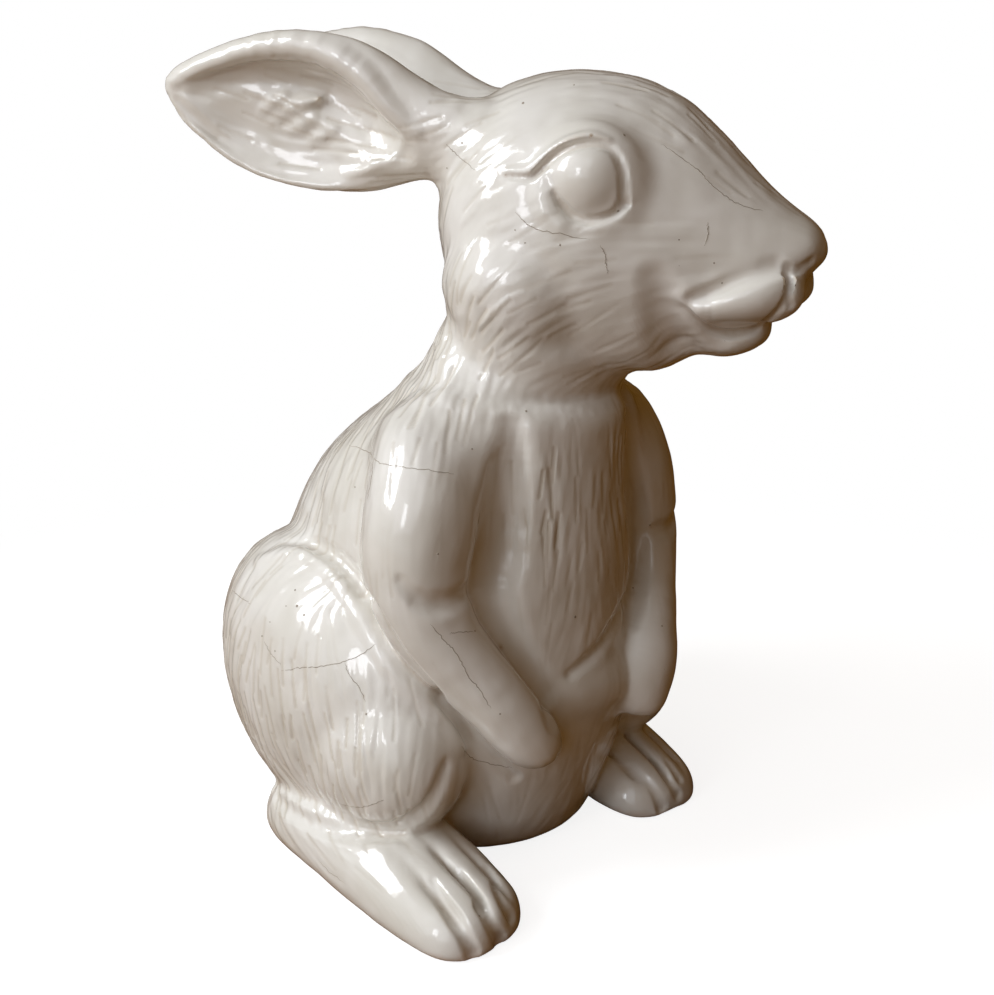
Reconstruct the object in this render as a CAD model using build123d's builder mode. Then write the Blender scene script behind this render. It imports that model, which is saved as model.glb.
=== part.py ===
from build123d import *
import math
import os

# A sitting rabbit figurine: slip-cast earthenware castings, luted together and glazed as one.
# It faces -Y, its left side is +X and +Z is up. The origin lies on the surface that it stands
# on, in the middle plane of the body. Sizes are in millimetres and turns are in degrees.
# A share is a part of the size that it follows.
half_turn = 180.0

# Casting and luting
cast_wall = 6.0
lute_gap = 0.3
cut_overrun = 2.0

# Neck joint: the height of the body's flat top, and the neck that the head casting adds to it
neck_seam_height = 178.0
neck_stub_height = 34.0

# Torso: an upright form, measured from the vertical line through the origin
torso_height = neck_seam_height + neck_stub_height
torso_half_width = 64.0
belly_reach = 58.0
rump_reach = 90.0
torso_widest_share = 0.5
neck_aside = 6.0
# Shares of the height, the half width, the rump reach, the belly reach and the neck's shift
TORSO_STATION_SHARES = (
    (0.000, 0.76, 0.82, 0.66, 0.0),
    (0.035, 0.84, 0.94, 0.76, 0.0),
    (0.120, 0.93, 1.03, 0.88, 0.0),
    (0.240, 1.00, 1.06, 1.00, 0.0),
    (0.380, 1.00, 1.04, 1.03, 0.0),
    (0.520, 0.98, 1.01, 1.02, 0.0),
    (0.660, 0.89, 0.82, 0.99, 0.2),
    (0.780, 0.76, 0.48, 0.98, 0.6),
    (0.870, 0.65, 0.22, 0.98, 1.0),
    (0.940, 0.58, 0.10, 0.94, 1.0),
    (1.000, 0.40, -0.04, 0.78, 1.0),
)

# Haunches: egg-shaped swellings of the body casting over the hind legs
haunch_length = 134.0
haunch_depth = 116.0
haunch_thickness = 72.0
haunch_spread = 51.0
haunch_back = 27.0
haunch_height = 61.0
haunch_slope = 22.0

# Knees: the lower front swellings of the haunches, over the hind feet
knee_length = 76.0
knee_depth = 68.0
knee_thickness = 54.0
knee_spread = 57.0
knee_ahead = 7.0
knee_height = 48.0

# Neck collar: a ring on the body's flat top that keys the head's floor
collar_radius = 18.0
collar_wall = 4.5
collar_height = 9.0
collar_ahead = 20.0
collar_aside = 6.0

# Base: the vent hole that lets steam out in the kiln
vent_radius = 12.0
vent_back = 20.0

# Head: a form along its own axis, turned to the rabbit's left and nodding down
head_turn = 28.0
head_nod = 6.0
skull_lift = 64.0
skull_ahead = 20.0
skull_aside = 8.0
skull_back_reach = 35.0
head_length = 136.0
head_half_width = 40.0
crown_reach = 44.0
jaw_reach = 46.0
head_widest_share = 0.46
# Shares of the length, the half width, the crown reach and the jaw reach
HEAD_STATION_SHARES = (
    (0.020, 0.34, 0.38, 0.40),
    (0.080, 0.66, 0.68, 0.76),
    (0.200, 0.92, 0.93, 1.04),
    (0.330, 1.00, 1.02, 1.20),
    (0.470, 0.94, 1.02, 1.26),
    (0.600, 0.79, 0.90, 1.20),
    (0.730, 0.64, 0.63, 0.93),
    (0.860, 0.50, 0.31, 0.70),
    (0.940, 0.38, 0.17, 0.42),
    (0.985, 0.22, 0.05, 0.16),
)

# Face: places are to the side, up and ahead from the middle of the skull
eye_radius = 12.2
eye_bulge = 10.0
eye_aside = 29.0
eye_socket_radius = 13.8
eye_socket_depth = 8.0
eye_socket_aside = 36.0
eye_up = 13.0
eye_ahead = 24.0
cheek_radius = 30.0
cheek_aside = 14.0
cheek_down = 26.0
cheek_ahead = 4.0
lip_length = 45.0
lip_height = 25.0
lip_width = 24.0
lip_aside = 11.0
lip_down = 17.0
lip_ahead = 75.5
chin_length = 38.0
chin_height = 20.0
chin_width = 26.0
chin_down = 33.5
chin_ahead = 67.0
nose_length = 24.0
nose_height = 16.0
nose_width = 22.0
nose_down = 3.5
nose_ahead = 89.5

# Ears: broad leaves laid straight back, hollowed on their outer faces
ear_length = 123.5
ear_half_width = 27.5
ear_outer_reach = 8.0
ear_back_reach = 9.0
ear_hollow_depth = 9.0
ear_root_aside = 15.0
ear_right_root_up = 18.0
ear_left_root_up = 21.5
ear_root_ahead = -14.0
ear_spread = 3.0
ear_right_lift = 3.0
ear_left_lift = 2.0
ear_facing = 15.0
ear_stub_radius = 5.0
ear_stub_start = 4.0
ear_stub_end = 30.0
ear_widest_share = 0.5
ear_hollow_start_share = 0.26
ear_hollow_end_share = 0.95
# Shares of the length, the half width, the outer reach and the back reach
EAR_STATION_SHARES = (
    (0.000, 0.38, 0.90, 0.90),
    (0.140, 0.54, 1.10, 1.05),
    (0.280, 0.80, 1.05, 1.00),
    (0.430, 1.00, 0.95, 0.95),
    (0.590, 0.97, 0.85, 0.85),
    (0.750, 0.78, 0.75, 0.75),
    (0.880, 0.50, 0.62, 0.62),
    (0.960, 0.28, 0.50, 0.50),
    (1.000, 0.10, 0.24, 0.24),
)
# Shares of the hollow's length, the ear's half width and the hollow's depth
EAR_HOLLOW_SHARES = (
    (0.00, 0.24, 0.12),
    (0.12, 0.58, 0.55),
    (0.28, 0.84, 0.92),
    (0.48, 0.88, 1.00),
    (0.68, 0.72, 0.90),
    (0.86, 0.42, 0.66),
    (1.00, 0.12, 0.30),
)

# Forelegs: bent limbs that hang down the chest
foreleg_radius = 21.0
# Shares of the torso's half width, belly reach and height, and of the foreleg's radius
FORELEG_STATION_SHARES = (
    (0.52, 0.24, 0.800, 0.62),
    (0.66, 0.34, 0.735, 0.96),
    (0.77, 0.42, 0.640, 1.03),
    (0.83, 0.50, 0.525, 0.87),
    (0.72, 0.70, 0.425, 0.69),
    (0.58, 0.88, 0.350, 0.61),
    (0.47, 0.98, 0.292, 0.55),
    (0.41, 1.02, 0.262, 0.44),
    (0.39, 1.03, 0.245, 0.20),
)

# Hind feet: long flat feet under the haunches
foot_length = 123.5
foot_half_width = 22.0
foot_rise = 34.0
foot_undercut = 7.0
foot_right_spread = 66.0
foot_left_spread = 58.5
foot_right_back = 46.0
foot_left_back = 61.5
foot_right_turn = 1.5
foot_left_turn = 5.0
foot_widest_share = 0.42
# Shares of the length, the half width and the rise
FOOT_STATION_SHARES = (
    (0.000, 0.34, 0.42),
    (0.040, 0.64, 0.66),
    (0.130, 0.88, 0.86),
    (0.300, 1.02, 1.00),
    (0.500, 1.07, 0.96),
    (0.700, 1.08, 0.78),
    (0.850, 1.00, 0.62),
    (0.940, 0.84, 0.50),
    (0.985, 0.56, 0.36),
    (1.000, 0.30, 0.22),
)
toe_count = 4
toe_groove_width = 3.2
toe_groove_length = 52.0
toe_groove_depth = 8.0
toe_groove_slope = 16.0
toe_groove_reach_share = 0.86
toe_groove_height_share = 0.62

# Tail: a tuft low on the rump
tail_width = 36.0
tail_length = 40.0
tail_height = 42.0
tail_lift = 44.0

# Fur: carved strokes in rings round the body and the jowls, from side to side past the back
fur_stroke_length = 17.0
fur_stroke_width = 3.6
fur_stroke_depth = 1.1
fur_turn_reach = 120.0
fur_column_count = 15
# Shares of the neck seam's height, and of the skull's lift above that seam
BODY_FUR_HEIGHT_SHARES = (0.22, 0.33, 0.44, 0.55, 0.66, 0.77, 0.88)
HEAD_FUR_HEIGHT_SHARES = (0.24, 0.50, 0.76)


def egg_section(plane, half_width, top, bottom, widest_share):
    """A closed outline: half an ellipse above the widest line and half of another below it."""
    widest = bottom + widest_share * (top - bottom)
    with BuildSketch(plane) as section:
        with BuildLine():
            EllipticalCenterArc((0, widest), half_width, top - widest, 0, arc_size=half_turn)
            EllipticalCenterArc(
                (0, widest), half_width, widest - bottom, half_turn, arc_size=half_turn
            )
        make_face()
    return section.sketch


def egg_loft(stations, widest_share):
    """A smooth solid through egg outlines, each given as plane, half width, top and bottom."""
    sections = [egg_section(*station, widest_share) for station in stations]
    with BuildPart() as solid:
        loft(sections=sections)
    return solid.part


def ellipsoid(x_size, y_size, z_size):
    """A ball stretched to three sizes."""
    ball = Sphere(x_size / 2, mode=Mode.PRIVATE)
    return scale(ball, by=(1, y_size / x_size, z_size / x_size), mode=Mode.PRIVATE)


def torso_form(grow):
    """The torso without its haunches, grown outwards."""
    stations = []
    for along, wide, rump, belly, aside in TORSO_STATION_SHARES:
        stations.append(
            (
                Plane((neck_aside * aside, 0, along * (torso_height + 2 * grow) - grow)),
                torso_half_width * wide + grow,
                rump_reach * rump + grow,
                -belly_reach * belly - grow,
            )
        )
    return egg_loft(stations, torso_widest_share)


def haunch_form(side, grow):
    """One haunch, grown outwards. Side is -1 on the rabbit's right and 1 on its left."""
    egg = ellipsoid(
        haunch_thickness + 2 * grow, haunch_length + 2 * grow, haunch_depth + 2 * grow
    )
    return Location((side * haunch_spread, haunch_back, haunch_height), (haunch_slope, 0, 0)) * egg


def knee_form(side, grow):
    """One knee, grown outwards."""
    egg = ellipsoid(knee_thickness + 2 * grow, knee_length + 2 * grow, knee_depth + 2 * grow)
    return Location((side * knee_spread, -knee_ahead, knee_height)) * egg


def body_form(grow):
    """The torso with both haunches and knees, grown outwards."""
    with BuildPart() as form:
        add(torso_form(grow))
        for side in SIDES:
            add(haunch_form(side, grow))
            add(knee_form(side, grow))
    return form.part


def head_place(aside, up, ahead):
    """A point given from the middle of the skull."""
    return head_frame.from_local_coords(Vector(aside, up, ahead))


def head_direction(aside, up, ahead):
    """A direction given along the head's own axes."""
    return head_frame.x_dir * aside + head_frame.y_dir * up + head_frame.z_dir * ahead


def head_egg(x_size, y_size, z_size, aside, up, ahead):
    """An ellipsoid set square to the head, at a place given from the middle of the skull."""
    frame = Plane(origin=head_place(aside, up, ahead), x_dir=head_frame.x_dir, z_dir=head_frame.z_dir)
    return frame.location * ellipsoid(x_size, y_size, z_size)


def skull_form(grow, station_shares):
    """The skull and muzzle, or the inner stations of them, grown outwards."""
    stations = []
    for along, wide, crown, jaw in station_shares:
        stations.append(
            (
                head_frame.offset(along * (head_length + 2 * grow) - grow - skull_back_reach),
                head_half_width * wide + grow,
                crown_reach * crown + grow,
                -jaw_reach * jaw - grow,
            )
        )
    return egg_loft(stations, head_widest_share)


def cheek_form(side, grow):
    """One cheek, grown outwards."""
    size = 2 * (cheek_radius + grow)
    return head_egg(size, size, size, side * cheek_aside, -cheek_down, cheek_ahead)


def head_form(grow, station_shares=HEAD_STATION_SHARES):
    """The skull with both cheeks, grown outwards."""
    with BuildPart() as form:
        add(skull_form(grow, station_shares))
        for side in SIDES:
            add(cheek_form(side, grow))
    return form.part


def ear_plane(side):
    """An ear's frame: its axis is z, its width is x, and its hollow face looks along y."""
    spread = math.radians(ear_spread)
    rise = math.radians(EAR_LIFTS[side])
    facing = math.radians(ear_facing)
    along = head_direction(
        side * math.sin(spread) * math.cos(rise), math.sin(rise), -math.cos(spread) * math.cos(rise)
    )
    outward = head_direction(side * math.cos(spread), 0, math.sin(spread))
    upward = along.cross(outward) * side
    look = outward * math.cos(facing) + upward * math.sin(facing)
    root = head_place(side * ear_root_aside, EAR_ROOT_UPS[side], ear_root_ahead)
    return Plane(origin=root, x_dir=look.cross(along), z_dir=along)


def ear_form(plane):
    """The leaf of one ear, without its hollow."""
    stations = []
    for along, wide, outer, back in EAR_STATION_SHARES:
        stations.append(
            (
                plane.offset(along * ear_length),
                ear_half_width * wide,
                ear_outer_reach * outer,
                -ear_back_reach * back,
            )
        )
    return egg_loft(stations, ear_widest_share)


def ear_hollow_form(plane):
    """The hollow of one ear, which opens through its outer face."""
    start = ear_length * ear_hollow_start_share
    run = ear_length * ear_hollow_end_share - start
    stations = []
    for along, wide, deep in EAR_HOLLOW_SHARES:
        stations.append(
            (
                plane.offset(start + along * run),
                ear_half_width * wide,
                ear_outer_reach + ear_hollow_depth,
                ear_outer_reach - ear_hollow_depth * deep,
            )
        )
    return egg_loft(stations, ear_widest_share)


def ear_stub_form(plane, grow):
    """The stub that keys an ear into the head's wall."""
    with BuildPart(plane.offset(ear_stub_start - grow)) as stub:
        Cylinder(
            ear_stub_radius + grow,
            ear_stub_end - ear_stub_start + grow,
            align=(Align.CENTER, Align.CENTER, Align.MIN),
        )
    return stub.part


def foreleg_form(side):
    """One foreleg from shoulder to paw, running through round sections."""
    centres = []
    radii = []
    for wide, belly, height, thick in FORELEG_STATION_SHARES:
        centres.append(
            Vector(side * torso_half_width * wide, -belly_reach * belly, torso_height * height)
        )
        radii.append(foreleg_radius * thick)
    last = len(centres) - 1
    sections = []
    for index, (centre, radius) in enumerate(zip(centres, radii)):
        course = centres[min(index + 1, last)] - centres[max(index - 1, 0)]
        with BuildSketch(Plane(origin=centre, x_dir=(1, 0, 0), z_dir=course)) as section:
            Circle(radius)
        sections.append(section.sketch)
    with BuildPart() as limb:
        loft(sections=sections)
    return limb.part


def foot_plane(side):
    """A foot's frame: its origin is at the heel, y is up and z runs ahead to the toes."""
    inward = math.radians(side * FOOT_TURNS[side])
    return Plane(
        origin=(side * FOOT_SPREADS[side], FOOT_BACKS[side], 0),
        x_dir=(math.cos(inward), -math.sin(inward), 0),
        z_dir=(-math.sin(inward), -math.cos(inward), 0),
    )


def foot_form(heel):
    """One hind foot from heel to toes, without its toe grooves."""
    stations = []
    for along, wide, rise in FOOT_STATION_SHARES:
        stations.append(
            (heel.offset(along * foot_length), foot_half_width * wide, foot_rise * rise, -foot_undercut)
        )
    return egg_loft(stations, foot_widest_share)


def fur_strokes(casting, heights):
    """Strokes in rings round the neck collar's line, each laid down the surface that it meets."""
    strokes = []
    for ring, height in enumerate(heights):
        for column in range(fur_column_count):
            across_share = (column + (ring % 2) / 2) / fur_column_count
            turn_from_back = math.radians(fur_turn_reach * (2 * across_share - 1))
            outward = Vector(math.sin(turn_from_back), math.cos(turn_from_back), 0)
            middle = Vector(collar_aside, -collar_ahead, height)
            point, normal = casting.find_intersection_points(Axis(middle, outward))[-1]
            downward = Vector(0, 0, -1) + normal * normal.Z
            stroke = ellipsoid(2 * fur_stroke_depth, fur_stroke_width, fur_stroke_length)
            strokes.append(Plane(origin=point, x_dir=-normal, z_dir=downward).location * stroke)
    return strokes


SIDES = (-1, 1)
SIDE_NAMES = {-1: "right", 1: "left"}
EAR_LIFTS = {-1: ear_right_lift, 1: ear_left_lift}
EAR_ROOT_UPS = {-1: ear_right_root_up, 1: ear_left_root_up}
FOOT_SPREADS = {-1: foot_right_spread, 1: foot_left_spread}
FOOT_BACKS = {-1: foot_right_back, 1: foot_left_back}
FOOT_TURNS = {-1: foot_right_turn, 1: foot_left_turn}
turn = math.radians(head_turn)
nod = math.radians(head_nod)
# The head's frame: x to its left, y up and z ahead along the nose
head_frame = Plane(
    origin=(skull_aside, -skull_ahead, neck_seam_height + skull_lift),
    x_dir=(math.cos(turn), math.sin(turn), 0),
    z_dir=(math.sin(turn) * math.cos(nod), -math.cos(turn) * math.cos(nod), -math.sin(nod)),
)
body_outside = body_form(0)
body_clearance = body_form(lute_gap)
head_outside = head_form(0)
head_clearance = head_form(lute_gap)
os.makedirs("parts", exist_ok=True)

# Inside of the body, below the plate that closes its neck
with BuildPart() as body_hollow:
    add(body_form(-cast_wall))
    split(bisect_by=Plane.XY.offset(neck_seam_height - cast_wall), keep=Keep.BOTTOM)

# Body casting: torso and haunches, with the vent hole below and the collar on top
with BuildPart() as body_casting:
    add(body_outside)
    split(bisect_by=Plane.XY.offset(neck_seam_height), keep=Keep.BOTTOM)
    with Locations((collar_aside, -collar_ahead, neck_seam_height - cast_wall)):
        Cylinder(
            collar_radius, cast_wall + collar_height, align=(Align.CENTER, Align.CENTER, Align.MIN)
        )
    add(body_hollow.part, mode=Mode.SUBTRACT)
    with Locations((collar_aside, -collar_ahead, neck_seam_height - cast_wall - cut_overrun)):
        Cylinder(
            collar_radius - collar_wall,
            cast_wall + collar_height + 2 * cut_overrun,
            align=(Align.CENTER, Align.CENTER, Align.MIN),
            mode=Mode.SUBTRACT,
        )
    with Locations((0, vent_back, -cut_overrun)):
        Cylinder(
            vent_radius,
            cast_wall + 2 * cut_overrun,
            align=(Align.CENTER, Align.CENTER, Align.MIN),
            mode=Mode.SUBTRACT,
        )
    body_fur = [share * neck_seam_height for share in BODY_FUR_HEIGHT_SHARES]
    add(fur_strokes(body_casting.part, body_fur), mode=Mode.SUBTRACT)
body_casting.part.label = "body_casting"
export_step(body_casting.part, "parts/body_casting.step")

# Inside of the head and of the neck below it, above the floor that stands on the body
with BuildPart() as head_hollow:
    add(head_form(-cast_wall, HEAD_STATION_SHARES[1:-3]))
    add(torso_form(-cast_wall))
    split(bisect_by=Plane.XY.offset(neck_seam_height + cast_wall), keep=Keep.TOP)

# Head casting: skull, cheeks, eyes, lips and chin over a hollow, with a floor on the neck
with BuildPart() as head_casting:
    add(head_outside)
    add(torso_form(0))
    for side in SIDES:
        socket_size = 2 * eye_socket_radius
        add(
            head_egg(
                2 * eye_socket_depth, socket_size, socket_size,
                side * eye_socket_aside, eye_up, eye_ahead,
            ),
            mode=Mode.SUBTRACT,
        )
        eye_size = 2 * eye_radius
        add(head_egg(2 * eye_bulge, eye_size, eye_size, side * eye_aside, eye_up, eye_ahead))
        add(head_egg(lip_width, lip_height, lip_length, side * lip_aside, -lip_down, lip_ahead))
    add(head_egg(chin_width, chin_height, chin_length, 0, -chin_down, chin_ahead))
    add(head_egg(nose_width, nose_height, nose_length, 0, -nose_down, nose_ahead))
    split(bisect_by=Plane.XY.offset(neck_seam_height), keep=Keep.TOP)
    add(head_hollow.part, mode=Mode.SUBTRACT)
    with Locations((collar_aside, -collar_ahead, neck_seam_height - cut_overrun)):
        Cylinder(
            collar_radius + lute_gap,
            cast_wall + 2 * cut_overrun,
            align=(Align.CENTER, Align.CENTER, Align.MIN),
            mode=Mode.SUBTRACT,
        )
    for side in SIDES:
        add(ear_stub_form(ear_plane(side), lute_gap), mode=Mode.SUBTRACT)
    head_fur = [neck_seam_height + share * skull_lift for share in HEAD_FUR_HEIGHT_SHARES]
    add(fur_strokes(head_casting.part, head_fur), mode=Mode.SUBTRACT)
head_casting.part.label = "head_casting"
export_step(head_casting.part, "parts/head_casting.step")

# Ears: leaves with a hollow face, coped to the head, each with its stub
for side in SIDES:
    plane = ear_plane(side)
    with BuildPart() as ear:
        add(ear_form(plane))
        add(ear_hollow_form(plane), mode=Mode.SUBTRACT)
        add(head_clearance, mode=Mode.SUBTRACT)
        add(ear_stub_form(plane, 0))
    ear.part.label = f"ear_{SIDE_NAMES[side]}"
    export_step(ear.part, f"parts/ear_{SIDE_NAMES[side]}.step")

# Forelegs: coped to the torso and the haunches
for side in SIDES:
    with BuildPart() as foreleg:
        add(foreleg_form(side))
        add(body_clearance, mode=Mode.SUBTRACT)
    foreleg.part.label = f"foreleg_{SIDE_NAMES[side]}"
    export_step(foreleg.part, f"parts/foreleg_{SIDE_NAMES[side]}.step")

# Hind feet: flat soles, grooves between the toes, coped to the haunches
for side in SIDES:
    heel = foot_plane(side)
    toe_pitch = 2 * foot_half_width / toe_count
    groove_height = foot_rise * toe_groove_height_share
    groove_ahead = foot_length * toe_groove_reach_share
    with BuildPart() as foot:
        add(foot_form(heel))
        for index in range(1, toe_count):
            groove_x = index * toe_pitch - foot_half_width
            groove = ellipsoid(toe_groove_width, 2 * toe_groove_depth, toe_groove_length)
            place = Location((groove_x, groove_height, groove_ahead), (toe_groove_slope, 0, 0))
            add(heel.location * place * groove, mode=Mode.SUBTRACT)
        split(bisect_by=Plane.XY, keep=Keep.TOP)
        add(body_clearance, mode=Mode.SUBTRACT)
    foot.part.label = f"hind_foot_{SIDE_NAMES[side]}"
    export_step(foot.part, f"parts/hind_foot_{SIDE_NAMES[side]}.step")

# Tail: a tuft coped to the rump
with BuildPart() as tail:
    add(Location((0, rump_reach, tail_lift)) * ellipsoid(tail_width, tail_length, tail_height))
    add(body_clearance, mode=Mode.SUBTRACT)
tail.part.label = "tail"
export_step(tail.part, "parts/tail.step")
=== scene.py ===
import math

import bpy
import numpy as np
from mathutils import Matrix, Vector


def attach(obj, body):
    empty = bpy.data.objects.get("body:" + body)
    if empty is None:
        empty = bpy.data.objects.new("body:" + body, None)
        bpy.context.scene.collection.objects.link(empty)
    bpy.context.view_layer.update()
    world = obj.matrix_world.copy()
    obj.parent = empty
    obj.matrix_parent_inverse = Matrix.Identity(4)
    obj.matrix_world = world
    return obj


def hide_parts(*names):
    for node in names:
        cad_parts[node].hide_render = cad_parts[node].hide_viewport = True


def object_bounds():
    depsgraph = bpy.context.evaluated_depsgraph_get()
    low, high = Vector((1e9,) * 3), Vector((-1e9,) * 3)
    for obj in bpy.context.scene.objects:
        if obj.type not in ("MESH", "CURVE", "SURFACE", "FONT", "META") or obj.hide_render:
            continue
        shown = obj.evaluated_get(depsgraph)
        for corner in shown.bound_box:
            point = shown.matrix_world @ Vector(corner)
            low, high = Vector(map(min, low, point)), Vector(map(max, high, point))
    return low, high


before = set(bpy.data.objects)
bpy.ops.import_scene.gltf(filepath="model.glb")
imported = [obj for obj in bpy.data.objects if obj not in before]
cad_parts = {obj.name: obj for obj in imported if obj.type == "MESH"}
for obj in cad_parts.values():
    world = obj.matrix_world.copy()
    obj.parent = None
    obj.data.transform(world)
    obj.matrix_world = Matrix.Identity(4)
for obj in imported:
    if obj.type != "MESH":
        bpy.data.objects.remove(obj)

import openvdb as vdb
from mathutils import Vector
from mathutils.bvhtree import BVHTree

# A sitting rabbit of slip-cast earthenware under one glossy, finely crazed off-white glaze.
# Sizes are in millimetres until a mesh is written in metres. +Z is up, the chest faces -Y and
# the rabbit's left side is +X.
METRE = 0.001
for name in ("Cube", "Camera", "Light"):
    if name in bpy.data.objects:
        bpy.data.objects.remove(bpy.data.objects[name])
cad_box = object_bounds()

# Camera: where the photograph was taken from
PHOTO_WIDTH = 994
PHOTO_HEIGHT = 995
VIEW_AZIMUTH = 42.0
VIEW_ELEVATION = 18.0
VIEW_DISTANCE = 480.0
VIEW_TARGET = np.array((3.7, -3.3, 130.0))
VIEW_FOCUS_PX = 1250.0
SENSOR_WIDTH = 36.0

# Clay: the steps of the grids that the castings are joined on and sculpted on, how far from the
# skin distances are kept, how far a rope is felt, and how much each casting's edges are rounded
JOINING_VOXEL = 1.0
SCULPTING_VOXEL = 0.75
BAND = 14.0
ROPE_REACH = 10.0
SOFTEN_CASTING = 2.3
SOFTEN_LIMB = 1.4
SOFTEN_EAR = 1.0

# Head: the middle of the skull, its turn to the left and its nod
SKULL = np.array((8.0, -20.0, 242.0))
HEAD_TURN = math.radians(28.0)
HEAD_NOD = math.radians(6.0)


def unit(vector):
    """The vector at length one."""
    vector = np.asarray(vector, float)
    return vector / np.linalg.norm(vector)


def view_axes():
    """Where the camera stands from its target, its right and its up."""
    azimuth = math.radians(VIEW_AZIMUTH)
    elevation = math.radians(VIEW_ELEVATION)
    back = np.array((
        -math.sin(azimuth) * math.cos(elevation),
        -math.cos(azimuth) * math.cos(elevation),
        math.sin(elevation),
    ))
    right = np.array((math.cos(azimuth), -math.sin(azimuth), 0.0))
    return back, right, np.cross(back, right)


VIEW_BACK, VIEW_RIGHT, VIEW_UP = view_axes()
VIEW_EYE = VIEW_TARGET + VIEW_DISTANCE * VIEW_BACK
HEAD_LEFT = np.array((math.cos(HEAD_TURN), math.sin(HEAD_TURN), 0.0))
HEAD_AHEAD = np.array((
    math.sin(HEAD_TURN) * math.cos(HEAD_NOD),
    -math.cos(HEAD_TURN) * math.cos(HEAD_NOD),
    -math.sin(HEAD_NOD),
))
HEAD_UP = np.cross(HEAD_AHEAD, HEAD_LEFT)
HEAD_AXES = np.array((HEAD_LEFT, HEAD_UP, HEAD_AHEAD))


def head(aside, up, ahead):
    """A point given from the middle of the skull."""
    return SKULL + np.array((aside, up, ahead)) @ HEAD_AXES


def make_camera():
    """The camera at the photograph's viewing angle."""
    data = bpy.data.cameras.new("photo_camera")
    data.sensor_fit = "HORIZONTAL"
    data.sensor_width = SENSOR_WIDTH
    data.lens = VIEW_FOCUS_PX / PHOTO_WIDTH * SENSOR_WIDTH
    data.clip_start = 0.01
    camera = bpy.data.objects.new("photo_camera", data)
    bpy.context.collection.objects.link(camera)
    camera.location = VIEW_EYE * METRE
    camera.rotation_euler = Vector(-VIEW_BACK).to_track_quat("-Z", "Y").to_euler()
    bpy.context.scene.camera = camera


make_camera()


# Clay: a grid of distances in millimetres, negative inside the clay
class Clay:
    """The block that the castings are joined in and sculpted on."""

    def __init__(self, low, high, voxel):
        self.low = np.floor(low) - BAND
        self.high = np.ceil(high) + BAND
        self.voxel = voxel
        self.count = tuple(int(n) for n in np.ceil((self.high - self.low) / voxel) + 1)
        self.field = np.full(self.count, BAND, np.float32)

    def window(self, low, high):
        """The part of the grid between two corners, and its coordinates."""
        first = np.clip(np.floor((low - self.low) / self.voxel).astype(int), 0, self.count)
        last = np.clip(np.ceil((high - self.low) / self.voxel).astype(int) + 1, 0, self.count)
        part = tuple(slice(a, b) for a, b in zip(first, last))
        axes = [
            (self.low[i] + self.voxel * np.arange(first[i], last[i])).astype(np.float32)
            for i in range(3)
        ]
        return part, np.stack(np.meshgrid(*axes, indexing="ij"), axis=-1)

    def add(self, shape, blend):
        """Joins a shape on, with a fillet of about the blend's size."""
        distance, low, high = shape
        part, points = self.window(low - blend, high + blend)
        self.field[part] = soft_least(self.field[part], distance(points), blend)

    def carve(self, shape, blend):
        """Cuts a shape away, with its lip rounded by about the blend's size."""
        distance, low, high = shape
        part, points = self.window(low - blend, high + blend)
        self.field[part] = -soft_least(-self.field[part], distance(points), blend)

    def finer(self, voxel):
        """The same clay on a finer grid, with smooth curves between the old places."""
        fine = Clay(self.low + BAND, self.high - BAND, voxel)
        values = self.field
        for axis in range(3):
            place = np.arange(fine.count[axis]) * voxel / self.voxel
            first = np.floor(place).astype(int)
            t = (place - first).astype(np.float32)
            weights = (
                -0.5 * t**3 + t**2 - 0.5 * t,
                1.5 * t**3 - 2.5 * t**2 + 1.0,
                -1.5 * t**3 + 2.0 * t**2 + 0.5 * t,
                0.5 * t**3 - 0.5 * t**2,
            )
            last = values.shape[axis] - 1
            shape = [1, 1, 1]
            shape[axis] = -1
            values = sum(
                np.take(values, np.clip(first + k - 1, 0, last), axis=axis) * weight.reshape(shape)
                for k, weight in enumerate(weights)
            )
        fine.field = values
        return fine


def soft_least(first, second, blend):
    """The lesser of two distances, rounded where they are nearly alike."""
    share = np.clip(0.5 + 0.5 * (second - first) / blend, 0.0, 1.0)
    return second * (1.0 - share) + first * share - blend * share * (1.0 - share)


def egg(centre, radii, axes=HEAD_AXES):
    """A ball stretched along its three axes."""
    centre = np.asarray(centre, float)
    radii = np.asarray(radii, np.float32)
    axes = np.asarray(axes, np.float32)

    def distance(points):
        local = (points - centre.astype(np.float32)) @ axes.T
        near = np.sqrt(np.sum((local / radii) ** 2, axis=-1))
        slope = np.sqrt(np.sum((local / radii**2) ** 2, axis=-1))
        return near * (near - 1.0) / np.maximum(slope, 1e-4)

    reach = float(radii.max())
    return distance, centre - reach, centre + reach


def rope(points, radii):
    """A round rope through points, thick or thin as its radii say."""
    points = np.asarray(points, float)
    radii = np.broadcast_to(np.asarray(radii, float), len(points))

    def distance(places):
        axes = (places[:, 0, 0, 0], places[0, :, 0, 1], places[0, 0, :, 2])
        least = np.full(places.shape[:-1], BAND, np.float32)
        for start, end, r0, r1 in zip(points[:-1], points[1:], radii[:-1], radii[1:]):
            reach = max(r0, r1) + ROPE_REACH
            ends = zip(axes, np.minimum(start, end) - reach, np.maximum(start, end) + reach)
            near = tuple(slice(*np.searchsorted(axis, (low, high))) for axis, low, high in ends)
            run = (end - start).astype(np.float32)
            away = places[near] - start.astype(np.float32)
            along = np.clip(away @ run / (run @ run), 0.0, 1.0)
            gap = away - along[..., None] * run
            far = np.sqrt(np.sum(gap**2, axis=-1)) - np.float32(r0) - np.float32(r1 - r0) * along
            least[near] = np.minimum(least[near], far)
        return least

    reach = float(radii.max())
    return distance, points.min(axis=0) - reach, points.max(axis=0) + reach


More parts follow.
